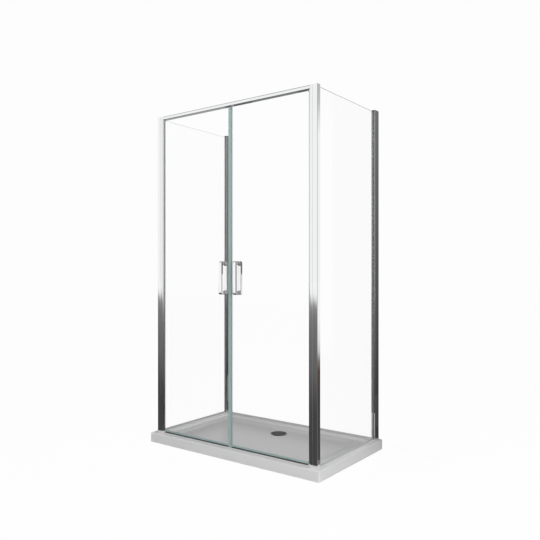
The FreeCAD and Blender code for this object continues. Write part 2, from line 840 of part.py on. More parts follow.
def make_handle(side, facing):
    """Bent bar handle; facing is -1 outside the cabin and +1 inside it."""
    root = half_glass + washer_thickness
    bar_back = root + handle_reach
    bar_front = bar_back + handle_bar
    low = handle_centre_height - handle_height / 2
    high = handle_centre_height + handle_height / 2
    outer = handle_outer_bend
    inner = handle_inner_bend
    outer_inset = outer * (1 - math.sqrt(0.5))
    inner_inset = inner * (1 - math.sqrt(0.5))
    arm_low = low + handle_arm
    arm_high = high - handle_arm
    steps = [
        ("line", (bar_front - outer, low)),
        ("arc", (bar_front - outer_inset, low + outer_inset), (bar_front, low + outer)),
        ("line", (bar_front, high - outer)),
        ("arc", (bar_front - outer_inset, high - outer_inset), (bar_front - outer, high)),
        ("line", (root, high)),
        ("line", (root, arm_high)),
        ("line", (bar_back - inner, arm_high)),
        ("arc", (bar_back - inner_inset, arm_high - inner_inset), (bar_back, arm_high - inner)),
        ("line", (bar_back, arm_low + inner)),
        ("arc", (bar_back - inner_inset, arm_low + inner_inset), (bar_back - inner, arm_low)),
        ("line", (root, arm_low)),
        ("line", (root, low)),
    ]
    x0 = side * handle_from_centre - handle_width / 2
    wire = outline(lambda out, z: Vector(x0, door_y + facing * out, z), (root, low), steps)
    handle = Part.Face(wire).extrude(Vector(handle_width, 0, 0))
    side_planes = (x0, x0 + handle_width)
    long_edges = []
    for edge in handle.Edges:
        on_side = any(all(abs(v.X - x) < 1e-6 for v in edge.Vertexes) for x in side_planes)
        at_root = all(abs(abs(v.Y - door_y) - root) < 1e-6 for v in edge.Vertexes)
        if on_side and not at_root:
            long_edges.append(edge)
    handle = handle.makeFillet(handle_edge_radius, long_edges)
    for z in stud_heights():
        ends = sorted((door_y, door_y + facing * (root + stud_depth + stud_gap)))
        handle = handle.cut(crossbar(stud_radius + stud_gap, side * handle_from_centre, z, ends[0], ends[1]))
    return handle


def make_handle_studs(side):
    """Studs that pull the two handles together through the pane."""
    reach = half_glass + washer_thickness + stud_depth
    x = side * handle_from_centre
    studs = [crossbar(stud_radius, x, z, door_y - reach, door_y + reach) for z in stud_heights()]
    return Part.makeCompound(studs)


def make_handle_washers(side):
    """Plastic washers between the handles and the pane."""
    washers = []
    x = side * handle_from_centre
    for z in stud_heights():
        for facing in (-1, 1):
            ends = sorted((door_y + facing * half_glass, door_y + facing * (half_glass + washer_thickness)))
            disc = crossbar(washer_radius, x, z, ends[0], ends[1])
            washers.append(disc.cut(crossbar(stud_radius + stud_gap, x, z, ends[0], ends[1])))
    return Part.makeCompound(washers)


def all_pieces():
    """Every node's name and shape."""
    pieces = {
        "shower_tray": make_tray(),
        "tray_base_board": make_board(),
        "tray_support_pads": make_pads(),
        "waste_flange": make_waste_flange(),
        "waste_seal": make_waste_seal(),
        "waste_body": make_waste_body(),
        "waste_cover": make_waste_cover(),
        "header_rail": make_header(),
        "header_screws": make_bracket_screws(),
        "lower_pivot_bushes": make_lower_bushes(),
        "upper_pivot_bushes": make_upper_bushes(),
        "channel_caps": make_channel_caps(),
        "threshold_strip": make_threshold(),
    }
    for name, side in (("left", -1), ("right", 1)):
        pieces["corner_post_" + name] = make_post(side)
        pieces["post_foot_" + name] = make_foot(side)
        pieces["post_cap_" + name] = make_post_cap(side)
        pieces["header_bracket_" + name] = make_bracket(side)
        pieces["wall_channel_" + name] = make_channel(side)
        pieces["side_glass_" + name] = make_side_glass(side)
        pieces["post_gasket_" + name] = make_post_gasket(side)
        pieces["channel_gasket_" + name] = make_channel_gasket(side)
        pieces["panel_seal_" + name] = make_panel_seal(side)
        pieces["door_glass_" + name] = make_door_glass(side)
        pieces["hinge_stile_" + name] = make_stile(side)
        pieces["stile_gasket_" + name] = make_stile_gasket(side)
        pieces["pivot_pins_" + name] = make_pivots(side)
        pieces["meeting_seal_" + name] = make_meeting_seal(side)
        pieces["drip_seal_" + name] = make_drip_seal(side)
        pieces["outer_handle_" + name] = make_handle(side, -1)
        pieces["inner_handle_" + name] = make_handle(side, 1)
        pieces["handle_studs_" + name] = make_handle_studs(side)
        pieces["handle_washers_" + name] = make_handle_washers(side)
    return pieces


os.makedirs("parts", exist_ok=True)
for node, shape in all_pieces().items():
    shape.exportStep(os.path.join("parts", node + ".step"))
    print(node, "solids", len(shape.Solids), "valid", shape.isValid(), "cm3", round(shape.Volume / 1000, 2))
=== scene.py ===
"""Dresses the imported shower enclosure: bright framing, clear panes, white tray and soft seals.

Sizes are in millimetres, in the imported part's own frame, and become metres when a mesh is made.
"""

from __future__ import annotations

import logging
import math
from dataclasses import dataclass
from enum import Enum

import bpy
import numpy as np
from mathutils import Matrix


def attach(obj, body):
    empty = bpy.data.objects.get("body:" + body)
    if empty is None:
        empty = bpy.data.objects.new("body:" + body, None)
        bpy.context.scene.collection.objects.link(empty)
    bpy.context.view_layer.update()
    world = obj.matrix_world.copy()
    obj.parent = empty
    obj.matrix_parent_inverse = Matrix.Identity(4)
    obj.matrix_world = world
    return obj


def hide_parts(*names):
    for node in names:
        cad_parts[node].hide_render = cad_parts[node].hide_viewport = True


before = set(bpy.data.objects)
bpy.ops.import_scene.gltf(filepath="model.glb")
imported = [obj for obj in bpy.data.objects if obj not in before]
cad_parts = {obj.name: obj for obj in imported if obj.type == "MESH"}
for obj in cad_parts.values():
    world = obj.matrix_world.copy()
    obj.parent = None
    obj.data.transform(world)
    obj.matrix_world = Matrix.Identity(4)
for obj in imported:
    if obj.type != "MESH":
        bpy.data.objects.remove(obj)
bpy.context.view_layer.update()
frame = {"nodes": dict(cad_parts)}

MM = 0.001
LOG = logging.getLogger("shower_enclosure")
Rgb = Spot = tuple[float, float, float]
Pair = tuple[float, float]


class Side(Enum):
    """The two mirrored halves of the enclosure."""

    LEFT = -1
    RIGHT = 1

    @property
    def label(self) -> str:
        """Word that ends the names of this side's nodes."""
        return self.name.lower()


class Facing(Enum):
    """Which face of a door a handle stands on."""

    OUTER = -1
    INNER = 1


ROOT_BODY = "enclosure"
COVER_BODY = "waste_cover"
SHARP_ANGLE = math.radians(32)
BEVEL_ANGLE = math.radians(40)
BUMP_STRENGTH = 0.4


# Surfaces


@dataclass
class Surface:
    """A closed skin: quads on a grid of points, and flat faces on its open ends."""

    points: np.ndarray
    quads: np.ndarray
    ends: list[list[int]]

    def outward(self) -> Surface:
        """Turns the skin so that its faces point outwards.

        The sign of the enclosed volume, summed over fans of triangles, tells which way it faces.

        Returns:
            The same surface, with every face reversed where the volume was negative.
        """
        faces = [*self.quads.tolist(), *self.ends]
        corners = np.array([(f[0], f[k], f[k + 1]) for f in faces for k in range(1, len(f) - 1)])
        a, b, c = (self.points[corners[:, k]] for k in range(3))
        if np.einsum("ij,ij->", a, np.cross(b, c)) < 0:
            self.quads = self.quads[:, ::-1]
            self.ends = [end[::-1] for end in self.ends]
        return self


def lattice(rows: int, columns: int, ring_of_rows: bool) -> np.ndarray:
    """Quads between neighbouring points of a grid whose columns close on themselves.

    Args:
        rows: Number of loops.
        columns: Points in each loop.
        ring_of_rows: Whether the last loop joins the first.

    Returns:
        Point indices, four to a quad.
    """
    row = np.arange(rows if ring_of_rows else rows - 1)[:, None]
    column = np.arange(columns)[None, :]
    below, above = row * columns, (row + 1) % rows * columns
    after = (column + 1) % columns
    return np.stack([below + column, below + after, above + after, above + column], -1).reshape(-1, 4)


def loft(loops: np.ndarray, ring: bool = False) -> Surface:
    """Skin over a row of equal loops, point(i, j) = loop i at its step j.

    Args:
        loops: Array of loops, each an array of points.
        ring: Whether the row of loops closes on itself; otherwise flat ends close it.

    Returns:
        The closed surface.
    """
    rows, columns = loops.shape[:2]
    last = (rows - 1) * columns
    ends = [] if ring else [list(range(columns))[::-1], list(range(last, last + columns))]
    return Surface(loops.reshape(-1, 3), lattice(rows, columns, ring), ends).outward()


def carried(section: np.ndarray, axis: int, start: float, stop: float) -> Surface:
    """Profile in the two other axes carried along one, point(i, j) = profile j at start or stop."""
    return loft(np.stack([np.insert(section, axis, place, axis=1) for place in (start, stop)]))


def spun(profile: np.ndarray, centre: Pair, steps: int) -> Surface:
    """Profile of (radius, height) from the top pole to the lower one, turned about an upright axis.

    Point(i, j) = centre + radius i times (cosine, sine) of turn j, at height i.

    Args:
        profile: Radii and heights; small flat ends close the two poles.
        centre: X and Y of the axis.
        steps: Number of turns that the circle is cut into.

    Returns:
        The closed surface.
    """
    turn = np.linspace(0, 2 * math.pi, steps, endpoint=False)[None, :]
    radius, height = profile[:, :1], profile[:, 1:]
    x = centre[0] + radius * np.cos(turn)
    y = centre[1] + radius * np.sin(turn)
    return loft(np.stack([x, y, np.broadcast_to(height, x.shape)], -1))


def joined(skins: list[Surface]) -> Surface:
    """Several closed skins as one surface.

    Args:
        skins: The skins, each facing outwards.

    Returns:
        One surface with all their points and faces.
    """
    starts = np.cumsum([0] + [len(skin.points) for skin in skins[:-1]])
    quads = [skin.quads + start for skin, start in zip(skins, starts)]
    ends = [
        [point + int(start) for point in end]
        for skin, start in zip(skins, starts) for end in skin.ends
    ]
    return Surface(np.concatenate([skin.points for skin in skins]), np.concatenate(quads), ends)


def arc(centre: Pair, radius: float, start: float, stop: float, steps: int) -> np.ndarray:
    """Points on a circle: centre + radius times (cosine, sine) from one angle to another, in degrees."""
    turn = np.radians(np.linspace(start, stop, steps))
    return np.stack([centre[0] + radius * np.cos(turn), centre[1] + radius * np.sin(turn)], -1)


def bow(start: Pair, stop: Pair, rise: float, steps: int) -> np.ndarray:
    """Points on a shallow parabola: the chord plus 4 t (1 - t) times a rise square to it.

    Args:
        start: First point.
        stop: Last point.
        rise: Height of the crown to the left of the chord.
        steps: Number of points.

    Returns:
        Array of points.
    """
    t = np.linspace(0, 1, steps)[:, None]
    first, last = np.array(start, float), np.array(stop, float)
    chord = last - first
    square = np.array([-chord[1], chord[0]]) / np.hypot(*chord)
    return first + t * chord + 4 * t * (1 - t) * rise * square


def rounded_loop(half_u: float, half_v: float, radius: float) -> np.ndarray:
    """Rectangle with round corners: four quarter circles, and points along the straight sides.

    Args:
        half_u: Half the first size.
        half_v: Half the second size.
        radius: Radius of the corners.

    Returns:
        Loop of points, the same number for any size.
    """
    corner_steps, side_steps = 17, 9
    corners = [
        arc((su * (half_u - radius), sv * (half_v - radius)), radius, turn, turn + 90, corner_steps)
        for su, sv, turn in ((1, 1, 0), (-1, 1, 90), (-1, -1, 180), (1, -1, 270))
    ]
    parts = []
    for here, ahead in zip(corners, corners[1:] + corners[:1]):
        t = np.linspace(0, 1, side_steps + 2)[1:-1, None]
        parts += [here, here[-1] + t * (ahead[0] - here[-1])]
    return np.concatenate(parts)


def eased(t: float) -> float:
    """Smooth step 3 t^2 - 2 t^3, level at both ends."""
    return 3 * t**2 - 2 * t**3


def mirrored(half: np.ndarray) -> np.ndarray:
    """Loop of a half section and its mirror image about the second axis."""
    return np.concatenate([half, half[::-1] * (-1.0, 1.0)])


# Shader graphs


@dataclass
class Value:
    """An output socket of a graph; arithmetic on it adds the Math nodes."""

    graph: Graph
    socket: bpy.types.NodeSocket | None

    def math(self, operation: str, *others: Value | float, swap: bool = False) -> Value:
        """Adds one Math node; swap puts this value after the other one."""
        operands = [self, *others][::-1] if swap else [self, *others]
        return self.graph.node("ShaderNodeMath", {"operation": operation}, dict(enumerate(operands)))

    def __add__(self, other: Value | float) -> Value:
        """Sum."""
        return self.math("ADD", other)

    def __sub__(self, other: Value | float) -> Value:
        """Difference."""
        return self.math("SUBTRACT", other)

    def __rsub__(self, other: float) -> Value:
        """Difference from a number."""
        return self.math("SUBTRACT", other, swap=True)

    def __mul__(self, other: Value | float) -> Value:
        """Product."""
        return self.math("MULTIPLY", other)

    def __truediv__(self, other: Value | float) -> Value:
        """Quotient."""
        return self.math("DIVIDE", other)

    def __pow__(self, other: float) -> Value:
        """Power."""
        return self.math("POWER", other)

    def limited(self) -> Value:
        """The value kept between 0 and 1."""
        return self.math("MINIMUM", 1.0).math("MAXIMUM", 0.0)


class Graph:
    """Adds nodes to one node tree."""

    def __init__(self, tree: bpy.types.NodeTree) -> None:
        """Empties the tree and keeps it."""
        tree.nodes.clear()
        self.tree = tree

    def node(self, kind: str, settings: dict | None = None, inputs: dict | None = None,
             output: int | str = 0) -> Value:
        """Adds one node of any type.

        Args:
            kind: The node's type.
            settings: Properties set first; "stops" holds a ramp's positions and colours.
            inputs: Socket name or index to a number, a colour or another value.
            output: Which output to return.

        Returns:
            The chosen output.
        """
        made = self.tree.nodes.new(kind)
        for key, setting in (settings or {}).items():
            if key == "stops":
                ramp = made.color_ramp.elements
                while len(ramp) < len(setting):
                    ramp.new(1.0)
                for stop, (place, colour) in zip(ramp, setting):
                    stop.position, stop.color = place, (*colour, 1.0)
            else:
                setattr(made, key, setting)
        for key, given in (inputs or {}).items():
            if isinstance(given, Value):
                self.tree.links.new(given.socket, made.inputs[key])
            else:
                made.inputs[key].default_value = given
        chosen = made.outputs[output] if len(made.outputs) else None
        return Value(self, chosen)

    def spot(self) -> Value:
        """Object coordinates, in metres."""
        return self.node("ShaderNodeTexCoord", output="Object")

    def place(self, axis: int) -> Value:
        """Object coordinate along axis 0, 1 or 2, in metres."""
        return self.node("ShaderNodeSeparateXYZ", {}, {0: self.spot()}, axis)

    def noise(self, cells: Rgb) -> Value:
        """Cloudy value from 0 to 1, cells to the metre along X, Y and Z, with two finer octaves."""
        spot = self.node("ShaderNodeMapping", {}, {"Vector": self.spot(), "Scale": cells})
        return self.node("ShaderNodeTexNoise", {}, {"Vector": spot, "Scale": 1.0, "Detail": 2.0}, "Fac")

    def facing(self) -> Value:
        """How far the face turns away from the eye, from 0 to 1."""
        return self.node("ShaderNodeLayerWeight", {}, {"Blend": 0.5}, "Facing")

    def blend(self, amount: Value, first: Rgb | Value, second: Rgb | Value) -> Value:
        """Colour between two tones, the first at an amount of 0 and the second at 1."""
        pair = [tone if isinstance(tone, Value) else (*tone, 1.0) for tone in (first, second)]
        return self.node("ShaderNodeMix", {"data_type": "RGBA"}, {0: amount, 6: pair[0], 7: pair[1]}, 2)


# Finishes


@dataclass(frozen=True)
class Finish:
    """A surface finish: two close tones, a range of roughness and a fine relief.

    Attributes:
        title: Name of the material.
        light: Lighter tone, linear.
        dark: Darker tone, linear.
        gloss: Lowest and highest roughness.
        cells: Grain cells to the metre along X, Y and Z.
        relief: Height of the grain in metres.
        specular: How strongly the surface mirrors when it isn't metal.
    """

    title: str
    light: Rgb
    dark: Rgb
    gloss: Pair
    cells: Rgb
    relief: float
    specular: float = 0.5

    def constants(self) -> dict[str, float]:
        """Shader sockets that hold one number all over."""
        return {"Specular IOR Level": self.specular}

    def varying(self, graph: Graph, grain: Value) -> dict[str, Value]:
        """Shader sockets that change over the surface.

        Args:
            graph: The material's graph.
            grain: The finish's grain.

        Returns:
            Colour and roughness, and whatever else a finish adds.
        """
        return {
            "Base Color": graph.blend(grain, self.dark, self.light),
            "Roughness": grain * (self.gloss[1] - self.gloss[0]) + self.gloss[0],
        }

    def material(self) -> bpy.types.Material:
        """The finish as a material, made once.

        Returns:
            The material, with its grain in colour, roughness and relief.
        """
        known = bpy.data.materials.get(self.title)
        if known:
            return known
        made = bpy.data.materials.new(self.title)
        made.use_nodes = True
        graph = Graph(made.node_tree)
        grain = graph.noise(self.cells)
        relief = {"Height": grain, "Strength": BUMP_STRENGTH, "Distance": self.relief}
        bump = graph.node("ShaderNodeBump", {}, relief)
        inputs = {"Normal": bump, **self.constants(), **self.varying(graph, grain)}
        shader = graph.node("ShaderNodeBsdfPrincipled", {}, inputs)
        graph.node("ShaderNodeOutputMaterial", {}, {"Surface": shader})
        made.diffuse_color = (*self.light, 1.0)
        return made


@dataclass(frozen=True)
class PolishedMetal(Finish):
    """Bright rolled metal with faint lines along its length."""

    def constants(self) -> dict[str, float]:
        """Metal all through."""
        return {"Metallic": 1.0}


@dataclass(frozen=True)
class GlossSheetWithPaintedShade(Finish):
    """Moulded gloss sheet, matt inside the panes, where its colour is also darkened as painted shade in
    place of the panes' shadow.

    Attributes:
        floor: Darker tone inside, painted shade.
        floor_rough: Roughness inside.
        centre: Y of the middle of the inside, in metres.
        half: Half sizes of the inside along X and Y, in metres.
        soft: Width of the change.
    """

    # Painted shade: the floor tone is darker than the rim, standing in for the panes' shadow on the
    # recess.
    floor: Rgb = (0.57, 0.57, 0.57)
    floor_rough: float = 0.3
    centre: float = 0.024
    half: Pair = (0.559, 0.333)
    soft: float = 0.09

    def constants(self) -> dict[str, float]:
        """Bends light as acrylic does."""
        return {"IOR": 1.49, "Specular IOR Level": self.specular}

    def inside(self, graph: Graph) -> Value:
        """One inside the panes as seen from above, falling to none at their line; it places the matt
        finish and the painted shade.

        Args:
            graph: The material's graph.

        Returns:
            The mask.
        """
        away = graph.place(0), graph.place(1) - self.centre
        across, along = (
            ((size - far.math("ABSOLUTE")) / self.soft).limited() for size, far in zip(self.half, away)
        )
        return across * along

    def varying(self, graph: Graph, grain: Value) -> dict[str, Value]:
        """Roughness turned matt on the floor, and colour darkened there as painted shade."""
        plain, floor = super().varying(graph, grain), self.inside(graph)
        return {
            # Painted shade: the base colour darkens inside the panes' line.
            "Base Color": graph.blend(floor, plain["Base Color"], self.floor),
            "Roughness": plain["Roughness"] * (1.0 - floor) + floor * self.floor_rough,
        }


@dataclass(frozen=True)
class ClearPane(Finish):
    """Clear glass: only a thin mirror shows over what is behind, more of it at a glancing angle.

    Attributes:
        body: Share that shows from straight ahead.
        glance: Share added at a glancing angle, by a power of how far the face turns away.
        mirror: One for a face that only mirrors, none for a ground edge with a tone of its own.
        uneven: Share that comes and goes with the grain.
        power: The power.
    """

    body: float = 0.003
    glance: float = 0.25
    mirror: float = 1.0
    uneven: float = 0.002
    power: int = 5

    def constants(self) -> dict[str, float]:
        """A mirror, or a ground edge."""
        return {"Metallic": self.mirror}

    def varying(self, graph: Graph, grain: Value) -> dict[str, Value]:
        """Colour, roughness and how much of the pane shows."""
        shown = graph.facing() ** self.power * self.glance + self.body + grain * self.uneven
        return {**super().varying(graph, grain), "Alpha": shown.limited()}


@dataclass(frozen=True)
class SoftSeal(Finish):
    """Translucent extruded strip.

    Attributes:
        shown: Least share of the strip that shows over what is behind.
        uneven: Share that comes and goes with the grain.
    """

    shown: float = 0.9
    uneven: float = 0.06

    def varying(self, graph: Graph, grain: Value) -> dict[str, Value]:
        """Colour and roughness; a little of what is behind shows through."""
        return {**super().varying(graph, grain), "Alpha": grain * self.uneven + self.shown}


@dataclass(frozen=True)
class FinnedSeal(SoftSeal):
    """Translucent strip whose wiping fin is coloured much darker than the rest.

    Attributes:
        fin: Tone of the fin.
        fin_top: Height at which the strip begins above the fin, in metres.
        soft: Height of the change from one grade to the other.
    """

    fin: Rgb = (0.05, 0.055, 0.055)
    fin_top: float = 0.0668
    soft: float = 0.0004

    def varying(self, graph: Graph, grain: Value) -> dict[str, Value]:
        """The strip's inputs, with the fin's tone low down."""
        strip, above = super().varying(graph, grain), (graph.place(2) - self.fin_top) / self.soft
        return {**strip, "Base Color": graph.blend(above.limited(), self.fin, strip["Base Color"])}


LINES_UP = (220.0, 220.0, 3.0)
LINES_ALONG = (3.0, 220.0, 220.0)
METAL_TONES = ((0.90, 0.905, 0.91), (0.87, 0.875, 0.88))
BRIGHT_UPRIGHT = PolishedMetal("bright_metal_upright", *METAL_TONES, (0.02, 0.05), LINES_UP, 4e-7)
BRIGHT_LEVEL = PolishedMetal("bright_metal_level", *METAL_TONES, (0.02, 0.05), LINES_ALONG, 4e-7)
CHROME_HANDLE = PolishedMetal(
    "handle_chrome", (0.93, 0.935, 0.94), (0.90, 0.905, 0.91), (0.02, 0.05), (60, 60, 60), 4e-7)
PLAIN_STEEL = PolishedMetal(
    "plain_steel", (0.62, 0.62, 0.63), (0.52, 0.52, 0.53), (0.22, 0.38), (300, 300, 300), 6e-6)
SATIN_STILE = PolishedMetal(
    "stile_satin", (0.70, 0.705, 0.71), (0.64, 0.645, 0.65), (0.08, 0.14), LINES_UP, 1e-6)
TRAY_WHITE_WITH_PAINTED_SHADE = GlossSheetWithPaintedShade(
    "tray_acrylic", (0.74, 0.74, 0.74), (0.72, 0.72, 0.72), (0.20, 0.26), (14, 14, 14), 1e-6, 0.3)
PANE = ClearPane("pane_face", (0.97, 0.985, 0.98), (0.94, 0.965, 0.96), (0.01, 0.03), (4, 4, 4), 1e-6)
PANE_EDGE = ClearPane(
    "pane_edge", (0.42, 0.52, 0.49), (0.34, 0.44, 0.42), (0.08, 0.16), (30, 30, 30), 5e-6,
    body=0.7, glance=0.3, mirror=0.0)
SEAL_TONES = ((0.47, 0.60, 0.585), (0.33, 0.43, 0.42))
SEAL = SoftSeal("soft_strip", *SEAL_TONES, (0.28, 0.42), (260, 260, 2.5), 1e-5)
LOW_SEAL = FinnedSeal("soft_strip_level", *SEAL_TONES, (0.28, 0.42), (2.5, 260, 260), 1e-5)
CLEAR_SEAL = SoftSeal(
    "clear_strip", (0.70, 0.71, 0.71), (0.64, 0.65, 0.65), (0.2, 0.3), (260, 2.5, 260), 5e-6)
FOOT_PLASTIC = Finish(
    "light_moulding", (0.78, 0.78, 0.77), (0.70, 0.70, 0.69), (0.38, 0.52), (500, 500, 500), 1e-5)
GREY_PLASTIC = Finish(
    "grey_moulding", (0.34, 0.345, 0.35), (0.28, 0.285, 0.29), (0.42, 0.58), (500, 500, 500), 1e-5)
COVER_GREY = Finish(
    "waste_cover_satin", (0.085, 0.085, 0.087), (0.068, 0.068, 0.070), (0.38, 0.50),
    (350, 350, 350), 8e-6, specular=0.2)
RUBBER = Finish(
    "gasket_rubber", (0.16, 0.165, 0.165), (0.11, 0.115, 0.115), (0.6, 0.75), (400, 400, 400), 1e-5)
CHIP_BOARD = Finish(
    "chip_board", (0.52, 0.40, 0.26), (0.36, 0.26, 0.16), (0.7, 0.85), (180, 180, 180), 4e-5)


def linked(name: str, data: bpy.types.ID) -> bpy.types.Object:
    """A new object in the scene."""
    made = bpy.data.objects.new(name, data)
    bpy.context.scene.collection.objects.link(made)
    return made


def add_piece(name: str, surface: Surface, body: str, slot: str, finish: Finish,
              stands_for: tuple[str, ...], rim: Finish | None = None, bevel: float = 0.0,
              bevel_steps: int = 2) -> None:
    """Makes a piece from a surface and joins it to its body.

    Args:
        name: Name of the piece.
        surface: Its skin, in millimetres.
        body: Body that it moves with.
        slot: Material slot of the record; not used.
        finish: Finish of the whole, or of the flat ends where rim is given.
        stands_for: Nodes that it replaces.
        rim: Finish of the quads, where it differs.
        bevel: Width of the rounding on sharp edges, in millimetres.
        bevel_steps: Faces across the rounding.
    """
    mesh = bpy.data.meshes.new(name)
    mesh.from_pydata((surface.points * MM).tolist(), [], [*surface.quads.tolist(), *surface.ends])
    mesh.polygons.foreach_set("use_smooth", np.ones(len(mesh.polygons), bool))
    mesh.set_sharp_from_angle(angle=SHARP_ANGLE)
    mesh.materials.append(finish.material())
    if rim:
        mesh.materials.append(rim.material())
        on_rim = np.arange(len(mesh.polygons)) < len(surface.quads)
        mesh.polygons.foreach_set("material_index", on_rim.astype(np.int32))
    mesh.update()
    made = linked(name, mesh)
    if bevel:
        edge = made.modifiers.new("soft_edges", "BEVEL")
        edge.width, edge.segments = bevel * MM, bevel_steps
        edge.limit_method, edge.angle_limit = "ANGLE", BEVEL_ANGLE
    made.modifiers.new("flat_faces", "WEIGHTED_NORMAL").keep_sharp = True
    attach(made, body)
    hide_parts(*stands_for)
    LOG.info("%s: %d points on %s", name, len(surface.points), body)


# Sub-assemblies


HALF_GLASS = 3.0
PANE_BEVEL = 0.5
SEAL_HALF = 5.0
SEAL_EDGE = 0.4


@dataclass
class ShowerTray:
    """White tray: skirt, flat rim, dished border and floor falling to the waste."""

    half_x: float = 600.0
    half_y: float = 350.0
    rim_z: float = 55.0
    floor_z: float = 34.0
    shell: float = 5.0
    edge: float = 5.0
    corner: float = 10.0
    rim: float = 58.0
    rim_fall: float = 2.0
    wall_run: float = 16.0
    wall_drop: float = 13.0
    wall_corner: float = 50.0
    border_run: float = 66.0
    floor_corner: float = 100.0
    floor_fall: float = 0.8
    nose: float = 1.0
    nose_fall: float = 0.6
    draft: float = 0.2
    waste_y: float = 150.0
    recess_radius: float = 56.0
    recess_z: float = 30.0
    hole_radius: float = 45.0

    def loop(self, inset: float, radius: float, z: float) -> np.ndarray:
        """Rounded rectangle at a distance inside the tray's outline, at a height."""
        flat = rounded_loop(self.half_x - inset, self.half_y - inset, radius)
        return np.column_stack([flat, np.full(len(flat), z)])

    def circle(self, outer: np.ndarray, radius: float, z: float) -> np.ndarray:
        """Circle round the waste, its points on the lines from its centre to another loop's."""
        away = outer[:, :2] - (0.0, self.waste_y)
        flat = away / np.hypot(*away.T)[:, None] * radius + (0.0, self.waste_y)
        return np.column_stack([flat, np.full(len(flat), z)])

    def top_loops(self) -> list[np.ndarray]:
        """Loops from the skirt's foot over the rim, wall and border to the waste.

        The edge is a quarter circle. From the rim the height falls as two smooth steps, one down
        the wall and one across the border.

        Returns:
            The loops in order.
        """
        loops = [self.loop(0, self.corner, z) for z in (0.0, self.rim_z - self.edge)]
        for turn in np.radians(np.linspace(15, 90, 6)):
            inset, fall = self.edge * (1 - math.cos(turn)), self.edge * (1 - math.sin(turn))
            loops.append(self.loop(inset, self.corner - inset, self.rim_z - fall))
        start, toe = self.rim - self.rim_fall, self.rim + self.wall_run
        toe_z = self.rim_z - self.wall_drop
        for t in np.linspace(0, 1, 9):
            z = self.rim_z - self.wall_drop * eased(t)
            loops.append(self.loop(start + t * (toe - start), self.wall_corner, z))
        for t in np.linspace(0, 1, 11)[1:]:
            z = toe_z - (toe_z - self.floor_z) * eased(t)
            radius = self.wall_corner + t * (self.floor_corner - self.wall_corner)
            loops.append(self.loop(toe + t * self.border_run, radius, z))
        edge, mouth_z = loops[-1], self.floor_z - self.floor_fall
        mouth = self.circle(edge, self.recess_radius, mouth_z)
        loops += [edge + t * (mouth - edge) for t in np.linspace(0, 1, 7)[1:]]
        inner = self.recess_radius - self.nose
        rings = ((inner, mouth_z - self.nose_fall), (inner - self.draft, self.recess_z),
                 (self.hole_radius, self.recess_z))
        return loops + [self.circle(edge, radius, z) for radius, z in rings]

    def under_loops(self) -> list[np.ndarray]:
        """Loops back from the waste hole along the underside to the skirt's inner foot.

        Returns:
            The loops in order.
        """
        shell, under_z = self.shell, self.rim_z - self.shell
        inner, corner = self.rim + self.wall_run - shell, self.wall_corner + shell
        floor = self.loop(inner + self.border_run, self.floor_corner + shell, self.floor_z - shell)
        boss = self.recess_radius + shell
        return [
            self.circle(floor, self.hole_radius, self.recess_z - shell),
            self.circle(floor, boss, self.recess_z - shell),
            self.circle(floor, boss, self.floor_z - shell),
            floor,
            self.loop(inner, corner, under_z - self.wall_drop),
            self.loop(self.rim - shell, corner, under_z),
            self.loop(shell, self.corner - shell, under_z),
            self.loop(shell, self.corner - shell, 0.0),
        ]

    def build(self) -> None:
        """Makes the tray's skin in place of its node."""
        skin = loft(np.stack(self.top_loops() + self.under_loops()), ring=True)
        add_piece("tray_shell", skin, ROOT_BODY, "white_acrylic", TRAY_WHITE_WITH_PAINTED_SHADE, ("shower_tray",))


@dataclass
class WasteCover:
    """Crowned round cover with a rolled edge and a guide skirt below."""

    centre: Pair = (0.0, 150.0)
    radius: float = 48.5
    under_z: float = 34.5
    rim_z: float = 36.5
    crown: float = 1.5
    guide_radius: float = 41.4
    guide_wall: float = 2.0
    guide_z: float = 26.0
    foot_z: float = 32.0
    foot_radius: float = 2.5
    foot_circle: float = 45.25
    foot_count: int = 4
    foot_sunk: float = 0.5
    pole: float = 2.0
    roll: float = 1.0
    shoulder: float = 1.5

    def profile(self) -> np.ndarray:
        """Radius and height round the section.

        The crown falls as the radius squared, and the edge is nearly a half circle.

        Returns:
            Loop of radii and heights, from the top pole to the lower one.
        """
        r = np.linspace(self.pole, self.radius - self.shoulder, 14)
        dome = np.column_stack([r, self.rim_z + self.crown * (1 - (r / self.radius) ** 2)])
        edge = arc((self.radius - self.roll, self.under_z + self.roll), self.roll, 80, -90, 9)
        outer, inner = self.guide_radius, self.guide_radius - self.guide_wall
        skirt = np.array([(outer, self.under_z), (outer, self.guide_z), (inner, self.guide_z),
                          (inner, self.under_z), (self.pole, self.under_z)])
        return np.concatenate([dome, edge, skirt])

    def feet(self) -> list[Surface]:
        """Small round feet under the rim, evenly spread on a circle.

        Returns:
            One skin for each foot.
        """
        top = self.under_z + self.foot_sunk
        rod = np.array([(self.foot_radius, top), (self.foot_radius, self.foot_z)])
        turns = 2 * math.pi * np.arange(self.foot_count) / self.foot_count
        away = self.foot_circle * np.column_stack([np.cos(turns), np.sin(turns)])
        return [spun(rod, (x, y), 24) for x, y in away + self.centre]

    def build(self) -> None:
        """Makes the cover in place of its node."""
        skin = joined([spun(self.profile(), self.centre, 96), *self.feet()])
        add_piece("waste_cover_disc", skin, COVER_BODY, "cover_grey", COVER_GREY, ("waste_cover",))


@dataclass
class Sided:
    """A sub-assembly that stands on both sides of the enclosure."""

    side: Side

    @property
    def body(self) -> str:
        """Body that its pieces move with."""
        return ROOT_BODY

    def add(self, piece: str, surface: Surface, slot: str, finish: Finish, node: str,
            **edges: Finish | float | int) -> None:
        """Makes a piece in place of its node, both named here without the side."""
        label = self.side.label
        add_piece(f"{piece}_{label}", surface, self.body, slot, finish, (f"{node}_{label}",), **edges)

    def placed(self, section: np.ndarray, x: float, y: float) -> np.ndarray:
        """Puts a section of distances inwards from x and back from y into X and Y on its side."""
        return np.column_stack([self.side.value * (x - section[:, 0]), y + section[:, 1]])


